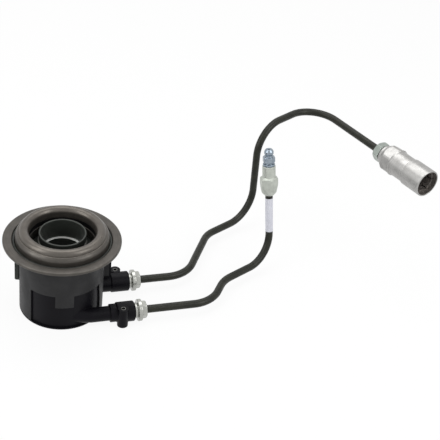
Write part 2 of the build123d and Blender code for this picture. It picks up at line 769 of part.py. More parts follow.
# Contact ring: two stepped beads above, the moving raceway inside
bead_height = contact_height - bead_radius
shoulder_centre = (shoulder_radius - shoulder_round, shoulder_top - shoulder_round)
raceway_wall = ball_circle_radius + ball_pocket_radius / 2
with BuildPart() as contact_ring:
    with BuildSketch(Plane.XZ):
        with BuildLine():
            Polyline((contact_bore_radius, bead_height), (contact_bore_radius, contact_lip_bottom),
                     (contact_lip_outer, contact_lip_bottom), (contact_lip_outer, contact_roof),
                     (raceway_wall, contact_roof), (raceway_wall, skirt_bottom),
                     (shoulder_radius - skirt_lip, skirt_bottom),
                     (shoulder_radius, skirt_bottom + skirt_lip_height),
                     (shoulder_radius, shoulder_centre[1]))
            CenterArc(shoulder_centre, shoulder_round, 0, 90)
            Line((shoulder_centre[0], shoulder_top), (bead_circle_radius + bead_radius, bead_height))
            CenterArc((bead_circle_radius, bead_height), bead_radius, 0, 180)
        make_face()
        with Locations((ball_circle_radius, ball_height)):
            Circle(ball_pocket_radius, mode=Mode.SUBTRACT)
    revolve(axis=Axis.Z)
finish(contact_ring, "contact_ring")

# Balls
with BuildPart() as balls:
    with Locations((0, 0, ball_height)):
        with PolarLocations(ball_circle_radius, ball_count):
            Sphere(ball_radius)
finish(balls, "balls")

# Crown cage: a rim over the balls with fingers down between them
rim_low = ball_height + ball_radius + cage_pocket_gap
with BuildPart() as ball_cage:
    turn(Plane.XY, ring_outline(ball_circle_radius - cage_finger_inner_reach,
                                ball_circle_radius + cage_finger_outer_reach,
                                ball_height - cage_finger_drop, rim_low))
    with Locations((0, 0, ball_height)):
        with PolarLocations(ball_circle_radius, ball_count):
            Sphere(ball_radius + cage_pocket_gap, mode=Mode.SUBTRACT)
    turn(Plane.XY, ring_outline(ball_circle_radius - cage_rim_inner_reach,
                                ball_circle_radius + cage_rim_outer_reach,
                                rim_low, rim_low + cage_rim_height))
finish(ball_cage, "ball_cage")

# Rubber rings that close the bearing
groove_seal_bottom = skirt_bottom + skirt_lip_height
with BuildPart() as groove_seal:
    turn(Plane.XY, ring_outline(shoulder_radius + spring_gap, cup_wall_bore - seat_gap,
                                groove_seal_bottom, groove_seal_bottom + groove_seal_height))
finish(groove_seal, "groove_seal")

with BuildPart() as inner_seal:
    turn(Plane.XY, ring_outline(race_bore_radius + inner_seal_ledge,
                                ball_circle_radius - ball_pocket_radius - inner_seal_gap,
                                race_top, contact_lip_bottom - free_gap))
finish(inner_seal, "inner_seal")


def formed_line(name, points, bends):
    """A formed pipe: straight runs joined by tangent arcs."""
    with BuildPart() as pipe:
        with BuildLine():
            FilletPolyline(*points, radius=list(bends))
        with BuildSketch(Plane(origin=points[0], z_dir=points[1] - points[0])):
            Circle(line_radius)
            Circle(line_bore_radius, mode=Mode.SUBTRACT)
        sweep()
    finish(pipe, name)


def axis_frame(origin, direction):
    """A frame whose Z runs in a direction and whose X is level."""
    return Plane(origin=origin, x_dir=Vector(0, 0, 1).cross(direction).normalized(), z_dir=direction)


# Feed line, from its fitting over to the quick coupler
line_start = fitting_end - line_insertion + seat_gap
feed_points = [feed_port.offset(line_start).origin, Vector(feed_run_end, feed_port_y, port_height)]
feed_points += [Vector(x, y, port_height + rise) for x, y, rise in feed_route]
coupler = axis_frame(feed_points[-1], feed_points[-1] - feed_points[-2])
feed_points[-1] = coupler.offset(line_insertion).origin
formed_line("feed_line", feed_points, feed_bends)

# Bleed line, from its fitting up to the bleeder; the riser's stations start at its last bend
bleed_points = [bleed_port.offset(line_start).origin, Vector(bleed_run_end, bleed_port_y, port_height)]
bleed_points += [Vector(x, y, port_height + rise) for x, y, rise in bleed_route]
riser = axis_frame(bleed_points[-2], bleed_points[-1] - bleed_points[-2])
bleed_points[-1] = riser.offset(adapter_start + line_insertion).origin
formed_line("bleed_line", bleed_points, bleed_bends)

# Plain sleeve label round the bleed line
label_inner = line_radius + seat_gap
with BuildPart() as label_sleeve:
    turn(riser, ring_outline(label_inner, label_inner + label_thickness, label_start, label_end))
finish(label_sleeve, "label_sleeve")

# Bleeder adapter: hexagon with a rounded nose, plain barrel, threaded bore
hex_shoulder = adapter_start + adapter_nose_length
socket_end = adapter_start + line_insertion + seat_gap
with BuildPart() as bleeder_adapter:
    with BuildSketch(riser.offset(adapter_start)):
        RegularPolygon(adapter_hex_radius, 6)
    extrude(amount=adapter_hex_end - adapter_start)
    turn(riser, (
        (0, adapter_start), (adapter_nose_radius, adapter_start),
        (adapter_hex_radius - adapter_shoulder_bevel, hex_shoulder - adapter_shoulder_bevel),
        (adapter_hex_radius, hex_shoulder), (adapter_hex_radius, adapter_hex_end - adapter_shoulder_bevel),
        (adapter_barrel_radius, adapter_hex_end), (0, adapter_hex_end)), Mode.INTERSECT)
    turn(riser, ring_outline(0, adapter_barrel_radius, hex_shoulder, adapter_end))
    turn(riser, ring_outline(0, line_radius + seat_gap, adapter_start, socket_end), Mode.SUBTRACT)
    turn(riser, ring_outline(0, nipple_bore_radius, adapter_start, adapter_end), Mode.SUBTRACT)
    turn(riser, ring_outline(0, screw_thread_radius + running_gap, screw_thread_start, adapter_end),
         Mode.SUBTRACT)
finish(bleeder_adapter, "bleeder_adapter")

# Bleed screw: threaded shank with a cone, collar, rounded hexagon and hose nipple
screw_tip = screw_thread_start + running_gap
collar_start = adapter_end + running_gap
with BuildPart() as bleed_screw:
    with BuildSketch(riser.offset(screw_hex_start)):
        RegularPolygon(screw_hex_radius, 6)
    extrude(amount=screw_hex_end - screw_hex_start)
    turn(riser, bevelled_outline(screw_hex_radius, screw_hex_bevel, screw_hex_start, screw_hex_end,
                                 screw_hex_bevel), Mode.INTERSECT)
    turn(riser, (
        (0, screw_tip), (nipple_bore_radius, screw_tip),
        (screw_thread_radius, screw_tip + screw_cone_length),
        (screw_thread_radius, collar_start), (screw_collar_radius, collar_start),
        (screw_collar_radius, screw_collar_end), (screw_neck_radius, screw_collar_end),
        (screw_neck_radius, nipple_start - nipple_neck_length),
        (nipple_radius - nipple_taper, nipple_start),
        (nipple_radius, nipple_start + nipple_taper), (nipple_radius, nipple_end - nipple_tip_length),
        (nipple_radius - nipple_taper, nipple_end), (0, nipple_end)))
    turn(riser, ring_outline(0, nipple_bore_radius, cross_hole_station, nipple_end), Mode.SUBTRACT)
finish(bleed_screw, "bleed_screw")

# Nut that holds the feed line in the coupler
with BuildPart() as coupler_nut:
    with BuildSketch(coupler.offset(coupler_nut_start)):
        RegularPolygon(coupler_nut_radius, 6)
    extrude(amount=coupler_nut_end - coupler_nut_start)
    turn(coupler, bevelled_outline(coupler_nut_radius, coupler_nut_bevel, coupler_nut_start,
                                   coupler_nut_end, coupler_nut_bevel), Mode.INTERSECT)
    turn(coupler, ring_outline(0, line_radius + seat_gap, coupler_nut_start, coupler_body_start),
         Mode.SUBTRACT)
    turn(coupler, ring_outline(0, coupler_nut_bore_radius, coupler_body_start, coupler_nut_end),
         Mode.SUBTRACT)
finish(coupler_nut, "coupler_nut")

# Coupler body: rear barrel with a hexagon, spigot for the front sleeve, valve cavity
rear_start = coupler_nut_end + seat_gap
shank_start = coupler_body_start + seat_gap
shank_radius = coupler_nut_bore_radius - seat_gap
with BuildPart() as coupler_body:
    with BuildSketch(coupler.offset(coupler_hex_start)):
        RegularPolygon(coupler_hex_flat, 6, major_radius=False, rotation=coupler_hex_turn)
    extrude(amount=coupler_hex_end - coupler_hex_start)
    turn(coupler, bevelled_outline(coupler_hex_radius, coupler_hex_bevel, coupler_hex_start,
                                   coupler_hex_end, coupler_hex_bevel), Mode.INTERSECT)
    turn(coupler, (
        (0, shank_start), (shank_radius, shank_start), (shank_radius, rear_start),
        (coupler_rear_radius - coupler_edge_bevel, rear_start),
        (coupler_rear_radius, rear_start + coupler_edge_bevel),
        (coupler_rear_radius, coupler_hex_end - coupler_edge_bevel),
        (coupler_barrel_radius, coupler_hex_end),
        (coupler_barrel_radius, coupler_seam), (coupler_spigot_radius, coupler_seam),
        (coupler_spigot_radius, coupler_spigot_end), (0, coupler_spigot_end)))
    turn(coupler, ring_outline(0, line_bore_radius, shank_start, coupler_cavity_start), Mode.SUBTRACT)
    turn(coupler, ring_outline(0, coupler_cavity_radius, coupler_cavity_start, coupler_spigot_end),
         Mode.SUBTRACT)
finish(coupler_body, "coupler_body")

# Front sleeve of the coupler, open at the mouth
sleeve_start = coupler_seam + seat_gap
spigot_bore = coupler_spigot_radius + seat_gap
with BuildPart() as coupler_sleeve:
    turn(coupler, (
        (spigot_bore, sleeve_start), (coupler_front_radius - coupler_lip_bevel, sleeve_start),
        (coupler_front_radius, sleeve_start + coupler_lip_bevel),
        (coupler_front_radius, coupler_end - coupler_lip_bevel),
        (coupler_front_radius - coupler_lip_bevel, coupler_end), (coupler_front_bore, coupler_end),
        (coupler_front_bore, coupler_spigot_end), (spigot_bore, coupler_spigot_end)))
finish(coupler_sleeve, "coupler_sleeve")

# Latch ring with fingers, inside the mouth
with BuildPart() as coupler_retainer:
    turn(coupler, ring_outline(coupler_retainer_radius, coupler_front_bore - seat_gap,
                               coupler_retainer_start, coupler_retainer_end))
    with BuildSketch(coupler.offset(coupler_retainer_end - coupler_finger_depth)):
        with PolarLocations(coupler_front_bore, coupler_finger_count):
            Rectangle(coupler_finger_reach, coupler_finger_slit)
    extrude(amount=coupler_finger_depth, mode=Mode.SUBTRACT)
finish(coupler_retainer, "coupler_retainer")

# Face seal at the bottom of the mouth
with BuildPart() as coupler_seal:
    turn(coupler, ring_outline(coupler_cavity_radius + coupler_seal_inset,
                               coupler_retainer_radius - coupler_seal_inset, coupler_spigot_end,
                               coupler_spigot_end + coupler_seal_height))
finish(coupler_seal, "coupler_seal")

# Ring that the coupler's valve shuts against
with BuildPart() as coupler_valve_seat:
    turn(coupler, ring_outline(valve_stem_radius + valve_seat_gap, coupler_cavity_radius - seat_gap,
                               valve_head_end, coupler_spigot_end))
finish(coupler_valve_seat, "coupler_valve_seat")

# Coupler valve: guide rod, notched head, stem that the mating plug pushes in
valve_head_radius = coupler_cavity_radius - running_gap
head_face = valve_head_end - running_gap
with BuildPart() as coupler_valve:
    turn(coupler, ring_outline(0, valve_head_radius, valve_head_start, head_face))
    with BuildSketch(coupler.offset(valve_head_start)):
        with PolarLocations(valve_head_radius, valve_notch_count):
            Circle(valve_notch_radius)
    extrude(amount=head_face - valve_head_start, mode=Mode.SUBTRACT)
    turn(coupler, (
        (0, valve_guide_start), (valve_guide_radius, valve_guide_start),
        (valve_guide_radius, valve_head_start), (valve_stem_radius, valve_head_start),
        (valve_stem_radius, valve_stem_end - valve_tip_bevel),
        (valve_stem_radius - valve_tip_bevel, valve_stem_end), (0, valve_stem_end)))
finish(coupler_valve, "coupler_valve")

# Valve spring, between the end of the cavity and the valve's head
coil_spring("coupler_valve_spring", coupler, coupler_cavity_start, valve_head_start, valve_spring_turns,
            (coupler_cavity_radius + valve_guide_radius) / 2, valve_spring_wire)
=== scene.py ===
import json
import math
import bmesh
import bpy
from mathutils import Matrix, Vector


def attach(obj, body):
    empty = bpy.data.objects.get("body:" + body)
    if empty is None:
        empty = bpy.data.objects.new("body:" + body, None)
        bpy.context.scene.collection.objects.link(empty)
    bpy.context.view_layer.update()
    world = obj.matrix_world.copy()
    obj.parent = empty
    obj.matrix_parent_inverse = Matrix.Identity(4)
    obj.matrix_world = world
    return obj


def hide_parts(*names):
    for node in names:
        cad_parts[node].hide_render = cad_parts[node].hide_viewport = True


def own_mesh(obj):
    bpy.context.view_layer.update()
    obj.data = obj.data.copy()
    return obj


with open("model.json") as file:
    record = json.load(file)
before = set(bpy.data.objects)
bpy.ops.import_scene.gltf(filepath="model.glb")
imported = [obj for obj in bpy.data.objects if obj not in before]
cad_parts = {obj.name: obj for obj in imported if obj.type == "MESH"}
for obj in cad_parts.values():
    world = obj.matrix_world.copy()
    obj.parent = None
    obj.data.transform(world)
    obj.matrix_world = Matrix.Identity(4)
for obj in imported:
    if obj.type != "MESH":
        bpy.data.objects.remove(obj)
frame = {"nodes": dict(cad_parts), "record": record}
nodes = frame["nodes"]
mounts = {mount["name"]: mount for mount in frame["record"]["mounts"]}
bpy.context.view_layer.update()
mm = 0.001
print("stage: frame loaded,", len(nodes), "nodes")


# Camera, at the photograph's viewing angle

cameraView = {  # place in mm, angles in degrees, lens and sensor in mm
    "place": (-115.9, -633.8, 528.3), "heading": 21.14, "pitch": 33.97, "roll": 7.41, "lens": 81.8,
    "sensor": 36,
}


def makeCamera(spec):
    heading, pitch, roll = (math.radians(spec[key]) for key in ("heading", "pitch", "roll"))
    forward = Vector((math.sin(heading) * math.cos(pitch), math.cos(heading) * math.cos(pitch),
                      -math.sin(pitch)))
    level = Vector((math.cos(heading), -math.sin(heading), 0))
    tall = level.cross(forward)
    right = level * math.cos(roll) + tall * math.sin(roll)
    up = tall * math.cos(roll) - level * math.sin(roll)
    lens = bpy.data.cameras.new("photoCamera")
    lens.lens = spec["lens"]
    lens.sensor_width = spec["sensor"]
    camera = bpy.data.objects.new("photoCamera", lens)
    camera.matrix_world = (Matrix.Translation(Vector(spec["place"]) * mm)
                           @ Matrix((right, up, -forward)).transposed().to_4x4())
    bpy.context.scene.collection.objects.link(camera)
    bpy.context.scene.camera = camera


makeCamera(cameraView)


# Axes that groups of pieces are turned about: each one's Z runs along the axis

def axisMatrix(origin, direction):
    along = Vector(direction).normalized()
    level = Vector((0, 0, 1)).cross(along).normalized()
    facing = Matrix((level, along.cross(level), along)).transposed().to_4x4()
    return Matrix.Translation(Vector(origin) * mm) @ facing


routes = {  # corners of the formed pipes in mm, and the bend radius at each corner between two runs
    "feedLine": {"corners": [(59.82, 9.5, 9.0), (109.0, 9.5, 9.0), (143.0, 64.3, 9.0), (194.2, 91.1, 9.0),
                             (191.2, 92.5, 100.0), (258.7, 131.1, 100.0), (288.3, 40.55, 100.0)],
                 "bends": [29.5, 29.5, 27.0, 27.0, 25.5]},
    "bleedLine": {"corners": [(55.82, -29.5, 9.0), (120.1, -29.5, 9.0), (138.5, -3.0, 9.0),
                              (188.9, 22.3, 9.0), (183.03, 33.91, 76.96)],
                  "bends": [29.5, 31.0, 25.0]},
}
origins = {  # in mm: end faces of the two ports, start of the coupler, foot of the bleed line's riser
    "feedPort": (57.7, 9.5, 9.0), "bleedPort": (54.2, -29.5, 9.0), "coupler": (285.5, 49.1, 100.0),
    "riser": (188.9, 22.3, 9.0),
}
upright = Matrix.Identity(4)
feedPort = axisMatrix(origins["feedPort"], (1, 0, 0))
bleedPort = axisMatrix(origins["bleedPort"], (1, 0, 0))
coupler = axisMatrix(origins["coupler"], mounts["line_socket"]["axis"])
riser = axisMatrix(origins["riser"], mounts["bleed_nipple"]["axis"])


# Materials

perMetre = 1000  # a pattern's scale is this over its size in mm
detail = {"clouds": 4.0, "grain": 2.0, "rings": 3.0, "mottle": 5.0}
glossSpread = 0.06  # how far the roughness swings either side of its value
bumpDepth = 0.1 * mm
edgeSamples = 4
noiseSpan = (0.3, 0.7)  # the part of a noise texture's range that its values fill
ringSpan = (0.35, 0.65)  # the same for the one-dimensional noise of the tool rings


def linear(hexColour):
    # sRGB to linear light
    channels = []
    for start in (0, 2, 4):
        value = int(hexColour[start:start + 2], 16) / 255
        channels.append(value / 12.92 if value <= 0.04045 else ((value + 0.055) / 1.055) ** 2.4)
    return (*channels, 1.0)


def addNode(tree, kind, settings=None, inputs=None):
    made = tree.nodes.new(kind)
    for key, value in (settings or {}).items():
        setattr(made, key, value)
    for socket, value in (inputs or {}).items():
        if isinstance(value, bpy.types.NodeSocket):
            tree.links.new(value, made.inputs[socket])
        else:
            made.inputs[socket].default_value = value
    return made


def newMaterial(name):
    material = bpy.data.materials.new(name)
    material.use_nodes = True
    material.node_tree.nodes.clear()
    return material, material.node_tree


def finishShader(tree, spec, tone, height):
    # Colour and gloss both follow one pattern, and edges are softened as moulding or deburring leaves them
    colour = addNode(tree, "ShaderNodeMix", {"data_type": "RGBA"},
                     {0: tone, 6: linear(spec["hex"]), 7: linear(spec["lightHex"])})
    gloss = addNode(tree, "ShaderNodeMapRange", None,
                    {"Value": tone, "To Min": spec["roughness"] + glossSpread,
                     "To Max": spec["roughness"] - glossSpread})
    edge = addNode(tree, "ShaderNodeBevel", {"samples": edgeSamples}, {"Radius": spec["edgeMm"] * mm})
    bump = addNode(tree, "ShaderNodeBump", None,
                   {"Height": height, "Strength": spec["bump"], "Distance": bumpDepth,
                    "Normal": edge.outputs["Normal"]})
    shader = addNode(tree, "ShaderNodeBsdfPrincipled", None,
                     {"Base Color": colour.outputs[2], "Roughness": gloss.outputs[0],
                      "Metallic": spec.get("metallic", 0.0), "Specular IOR Level": spec.get("specular", 0.5),
                      "Normal": bump.outputs["Normal"]})
    addNode(tree, "ShaderNodeOutputMaterial", None, {"Surface": shader.outputs[0]})


def moulded(name, spec):
    # Even plastic: slow clouds set the tone, a fine grain the relief
    material, tree = newMaterial(name)
    coords = addNode(tree, "ShaderNodeTexCoord").outputs["Object"]
    clouds = addNode(tree, "ShaderNodeTexNoise", None,
                     {"Vector": coords, "Scale": perMetre / spec["cloudMm"], "Detail": detail["clouds"]})
    grain = addNode(tree, "ShaderNodeTexNoise", None,
                    {"Vector": coords, "Scale": perMetre / spec["grainMm"], "Detail": detail["grain"]})
    tone = addNode(tree, "ShaderNodeMapRange", None,
                   {"Value": clouds.outputs["Fac"], "From Min": noiseSpan[0], "From Max": noiseSpan[1]})
    finishShader(tree, spec, tone.outputs[0], grain.outputs["Fac"])
    return material


def turned(name, spec, axis=upright):
    # Metal with tool rings round an axis, which step with the radius on faces and with the station on walls
    material, tree = newMaterial(name)
    coords = addNode(tree, "ShaderNodeTexCoord").outputs["Object"]
    place, turn = axis.decompose()[:2]
    local = addNode(tree, "ShaderNodeMapping", {"vector_type": "TEXTURE"},
                    {"Vector": coords, "Location": place, "Rotation": turn.to_euler()}).outputs["Vector"]
    split = addNode(tree, "ShaderNodeSeparateXYZ", None, {"Vector": local})
    flat = addNode(tree, "ShaderNodeCombineXYZ", None, {"X": split.outputs["X"], "Y": split.outputs["Y"]})
    radius = addNode(tree, "ShaderNodeVectorMath", {"operation": "LENGTH"}, {0: flat.outputs[0]})
    station = addNode(tree, "ShaderNodeMath", {"operation": "ADD"},
                      {0: radius.outputs["Value"], 1: split.outputs["Z"]})
    rings = addNode(tree, "ShaderNodeTexNoise", {"noise_dimensions": "1D"},
                    {"W": station.outputs[0], "Scale": perMetre / spec["ringMm"],
                     "Detail": detail["rings"]})
    mottle = addNode(tree, "ShaderNodeTexNoise", None,
                     {"Vector": local, "Scale": perMetre / spec["mottleMm"], "Detail": detail["mottle"]})
    height = addNode(tree, "ShaderNodeMath", {"operation": "MULTIPLY_ADD"},
                     {0: rings.outputs["Fac"], 1: spec["ringShare"], 2: mottle.outputs["Fac"]})
    tone = addNode(tree, "ShaderNodeMapRange", None,
                   {"Value": height.outputs[0], "From Min": noiseSpan[0] + spec["ringShare"] * ringSpan[0],
                    "From Max": noiseSpan[1] + spec["ringShare"] * ringSpan[1]})
    finishShader(tree, spec, tone.outputs[0], height.outputs[0])
    return material


plastics = {
    # Injection-moulded glass-filled nylon: near black, a soft gloss broken by a fine spark-eroded grain
    "mouldedNylon": {"hex": "050408", "lightHex": "0a090f", "roughness": 0.42, "specular": 0.11,
                     "cloudMm": 14, "grainMm": 0.7, "bump": 0.22, "edgeMm": 0.45},
    # Moulded polyamide in natural dark grey: matt, faint flow clouds
    "mouldedPolyamide": {"hex": "202021", "lightHex": "282829", "roughness": 0.5, "specular": 0.2,
                         "cloudMm": 11, "grainMm": 0.7, "bump": 0.3, "edgeMm": 0.25},
    # Moulded acetal of the carrier: dark green-grey, a little drier than the nylon
    "mouldedAcetal": {"hex": "2b2e2b", "lightHex": "373a37", "roughness": 0.48, "specular": 0.2,
                      "cloudMm": 9, "grainMm": 0.7, "bump": 0.25, "edgeMm": 0.4},
    # Moulded nitrile rubber: black and dull
    "nitrileRubber": {"hex": "080809", "lightHex": "0e0e0f", "roughness": 0.65, "specular": 0.2,
                      "cloudMm": 5, "grainMm": 0.5, "bump": 0.2, "edgeMm": 0.2},
    # Olive-black dipped coating on steel pipe: satin, slightly uneven where it ran
    "dippedCoating": {"hex": "13140e", "lightHex": "25261d", "roughness": 0.38, "specular": 0.26,
                      "cloudMm": 6, "grainMm": 2.2, "bump": 0.35, "edgeMm": 0.2},
    # White polyester label film: smooth, a trace of lavender
    "polyesterFilm": {"hex": "c9cad4", "lightHex": "d3d4dc", "roughness": 0.4, "specular": 0.3,
                      "cloudMm": 7, "grainMm": 1.0, "bump": 0.1, "edgeMm": 0.1},
}
metals = {
    # Pressed and turned bearing steel, phosphated: warm grey, satin, faint lathe rings
    "phosphatedSteel": {"hex": "45423e", "lightHex": "56524d", "roughness": 0.36, "metallic": 0.62,
                        "ringMm": 0.9, "ringShare": 0.35, "mottleMm": 7, "bump": 0.2, "edgeMm": 0.3},
    # The same steel on the top bead, painted lighter as a highlight where it faces the lamps, and a touch
    # smoother
    "paintedHighlightSteel": {"hex": "524e49", "lightHex": "66615b", "roughness": 0.32, "metallic": 0.66,
                       "ringMm": 0.9, "ringShare": 0.4, "mottleMm": 7, "bump": 0.2, "edgeMm": 0.3},
    # Drawn steel tube, black oxide: dark green-grey, low sheen
    "oxidedSteel": {"hex": "292c29", "lightHex": "363935", "roughness": 0.42, "metallic": 0.35,
                    "ringMm": 0.8, "ringShare": 0.4, "mottleMm": 8, "bump": 0.2, "edgeMm": 0.3},
    # The same tube where the ledge is cut back to bare metal, painted near white as a highlight where the
    # ledge catches light through the bore: bright rings
    "machinedLedgeHighlight": {"hex": "d8d9d6", "lightHex": "ecedea", "roughness": 0.45, "metallic": 0.4,
                      "ringMm": 0.5, "ringShare": 0.5, "mottleMm": 4, "bump": 0.2, "edgeMm": 0.2},
    # Cold-drawn spring wire and rolled pins: plain grey steel
    "springSteel": {"hex": "62625f", "lightHex": "767672", "roughness": 0.32, "metallic": 1.0,
                    "ringMm": 0.5, "ringShare": 0.3, "mottleMm": 3, "bump": 0.15, "edgeMm": 0.15},
    # Ground and lapped chrome steel balls: bright and even
    "lappedSteel": {"hex": "b4b4b3", "lightHex": "bebebd", "roughness": 0.14, "metallic": 1.0,
                    "ringMm": 2.0, "ringShare": 0.1, "mottleMm": 5, "bump": 0.02, "edgeMm": 0.1},
    # Turned brass inserts
    "turnedBrass": {"hex": "9a7c40", "lightHex": "ab8d50", "roughness": 0.3, "metallic": 1.0, "ringMm": 0.5,
                    "ringShare": 0.4, "mottleMm": 4, "bump": 0.2, "edgeMm": 0.15},
    # Sheet latch ring, browned by heat treatment; the same dark brown is also laid on the bore of the coupler
    # sleeve's mouth as painted shade
    "temperedSheetAndMouthShade": {"hex": "474340", "lightHex": "87817c", "roughness": 0.5, "metallic": 0.4,
                      "ringMm": 0.8, "ringShare": 0.2, "mottleMm": 2.0, "bump": 0.3, "edgeMm": 0.2},
}
brightMetals = {
    # Turned aluminium line fittings, left bare: light, crisp tool rings
    "turnedAluminium": {"hex": "9c9d98", "lightHex": "b2b3ae", "roughness": 0.26, "metallic": 1.0,
                        "ringMm": 0.7, "ringShare": 0.5, "mottleMm": 6, "bump": 0.12, "edgeMm": 0.15},
    # Coupler in turned and tumbled aluminium: satin, softer than the fittings
    "tumbledAluminium": {"hex": "9b9a98", "lightHex": "b0afad", "roughness": 0.36, "metallic": 0.97,
                         "ringMm": 0.8, "ringShare": 0.4, "mottleMm": 5, "bump": 0.25, "edgeMm": 0.3},
    # Zinc-nickel plated nut, a shade greener
    "zincNickel": {"hex": "8b938d", "lightHex": "a8afa9", "roughness": 0.3, "metallic": 0.95, "ringMm": 0.7,
                   "ringShare": 0.3, "mottleMm": 4, "bump": 0.25, "edgeMm": 0.3},
    # Zinc plated steel adapter: dull grey-green
    "platedSteel": {"hex": "acb0a9", "lightHex": "bec2ba", "roughness": 0.44, "metallic": 0.85,
                    "ringMm": 0.7, "ringShare": 0.3, "mottleMm": 4, "bump": 0.25, "edgeMm": 0.3},
    # Blue-passivated zinc on the bleed screw
    "bluePassivate": {"hex": "7d8994", "lightHex": "9aa4ad", "roughness": 0.26, "metallic": 1.0,
                      "ringMm": 0.6, "ringShare": 0.3, "mottleMm": 3, "bump": 0.2, "edgeMm": 0.2},
}
finishes = {name: moulded(name, spec) for name, spec in plastics.items()}
finishes.update({name: turned(name, spec) for name, spec in metals.items()})
for name, metal, axis in (("feedAluminium", "turnedAluminium", feedPort),
                          ("bleedAluminium", "turnedAluminium", bleedPort),
                          ("tumbledAluminium", "tumbledAluminium", coupler),
                          ("zincNickel", "zincNickel", coupler),
                          ("platedSteel", "platedSteel", riser),
                          ("bluePassivate", "bluePassivate", riser)):
    finishes[name] = turned(name, brightMetals[metal], axis)

cadFinishes = {  # CAD nodes whose shape is right and that only need their finish
    "housing": "mouldedNylon", "base_inserts": "turnedBrass", "sleeve_o_ring": "nitrileRubber",
    "stop_ring": "springSteel", "feed_roll_pin": "springSteel", "bleed_roll_pin": "springSteel",
    "feed_fitting_seal": "nitrileRubber", "bleed_fitting_seal": "nitrileRubber", "piston": "mouldedAcetal",
    "seal_support_ring": "mouldedAcetal", "piston_seal": "nitrileRubber", "preload_spring": "springSteel",
    "spring_washer": "springSteel", "bearing_carrier": "mouldedAcetal", "dust_sleeve": "mouldedPolyamide",
    "centering_spring": "springSteel", "ball_cage": "mouldedAcetal", "inner_seal": "nitrileRubber",
    "coupler_retainer": "temperedSheetAndMouthShade", "coupler_seal": "nitrileRubber",
    "coupler_valve_seat": "temperedSheetAndMouthShade", "coupler_valve": "temperedSheetAndMouthShade",
}


def dress(piece, finishNames):
    piece.data.materials.clear()
    for finishName in finishNames:
        piece.data.materials.append(finishes[finishName])


for nodeName, finishName in cadFinishes.items():
    dress(nodes[nodeName], [finishName])
print("stage: materials made")


# Moulded pieces: the CAD shape with its edges rounded as the mould leaves them

sleeveWindow = {  # below this height, the sleeve's window edges and tab are turned: (angle, turn) in degrees
    "below": 33.1, "turns": [(-190, 0), (-156, 11), (-106, -2), (-81, -2), (-42, 7.6), (-10, 0)],
}
mouldedPieces = {  # width of the rounded edges in mm, body and slot
    "housing": {"edge": 0.35, "body": "cylinder", "slot": "housing_plastic"},
    "dust_sleeve": {"edge": 0.2, "body": "bearing_slide", "slot": "sleeve_plastic", "window": sleeveWindow},
    "bearing_carrier": {"edge": 0.3, "body": "bearing_slide", "slot": "black_plastic"},
}
edgeRounding = {"merge": 0.01, "flatAngle": 1.5, "sharpAngle": 28, "segments": 2}  # mm and degrees


def turnWindow(form, spec):
    # Angles run from -270 to 90 degrees, so that both windows lie inside one range
    for vertex in form.verts:
        angle = math.degrees(math.atan2(vertex.co.y, vertex.co.x))
        angle -= 360 if angle > 90 else 0
        for (start, first), (end, last) in zip(spec["turns"], spec["turns"][1:]):
            if start < angle <= end and vertex.co.z < spec["below"] * mm:
                turn = first + (last - first) * (angle - start) / (end - start)
                vertex.co = Matrix.Rotation(math.radians(turn), 3, "Z") @ vertex.co


def softened(nodeName, spec):
    # A merged copy of the CAD mesh, freed of the lines across its flats, with its sharp edges rounded
    form = bmesh.new()
    form.from_mesh(nodes[nodeName].data)
    bmesh.ops.remove_doubles(form, verts=form.verts, dist=edgeRounding["merge"] * mm)
    bmesh.ops.dissolve_limit(form, angle_limit=math.radians(edgeRounding["flatAngle"]), verts=form.verts,
                             edges=form.edges)
    if "window" in spec:
        turnWindow(form, spec["window"])
    mesh = bpy.data.meshes.new(nodeName)
    form.to_mesh(mesh)
    form.free()
    piece = bpy.data.objects.new(nodeName + "Soft", mesh)
    bpy.context.scene.collection.objects.link(piece)
    bevel = piece.modifiers.new("bevel", "BEVEL")
    bevel.width = spec["edge"] * mm
    bevel.segments = edgeRounding["segments"]
    bevel.limit_method = "ANGLE"
    bevel.angle_limit = math.radians(edgeRounding["sharpAngle"])
    bevel.harden_normals = False
    piece.modifiers.new("weighted", "WEIGHTED_NORMAL")
    mesh.shade_smooth()
    settled = piece.evaluated_get(bpy.context.evaluated_depsgraph_get())
    result = bpy.data.meshes.new_from_object(settled)
    bpy.data.objects.remove(piece)
    print(nodeName, "softened:", len(result.polygons), "faces")
    return result


# Turned pieces: an outline of (radius, station, rounding) corners in mm, swept round an axis

plainLongest = 4.0  # mm between points of an outline, where a piece states none
plainSteps = 120  # parts round the axis, where a piece states none
plainSharp = 40  # degrees between faces from which an edge is sharp, where a piece states none
cornerParts = 5
cornerShare = 0.48  # the most that one rounded corner takes of the run beside it
flatBlend = 0.25  # mm over which the edge of a wrench flat is rounded
flatReach = 0.7  # share of the apothem below which a radius belongs to a bore, which the flats leave round


def roundCorner(before, corner, after, rounding):
    # The arc is drawn as a quadratic curve, which is close enough for deburred and moulded edges
    corner2 = Vector(corner[:2])
    toBefore, toAfter = Vector(before[:2]) - corner2, Vector(after[:2]) - corner2
    opening = toBefore.angle(toAfter)
    reach = min(rounding / math.tan(opening / 2), cornerShare * toBefore.length,
                cornerShare * toAfter.length)
    start, end = corner2 + toBefore.normalized() * reach, corner2 + toAfter.normalized() * reach
    shares = [part / cornerParts for part in range(cornerParts + 1)]
    return [start.lerp(corner2, share).lerp(corner2.lerp(end, share), share) for share in shares]


def smoothOutline(corners, longest):
    # Rounds the corners that state it, then splits each run into parts no longer than asked
    points = []
    for index, corner in enumerate(corners):
        before, after = corners[index - 1], corners[(index + 1) % len(corners)]
        rounding = corner[2] if len(corner) > 2 else 0.0
        points += roundCorner(before, corner, after, rounding) if rounding else [Vector(corner[:2])]
    fine = []
    for start, end in zip(points, points[1:] + points[:1]):
        parts = max(1, math.ceil((end - start).length / longest))
        fine += [start.lerp(end, part / parts) for part in range(parts)]
    return fine


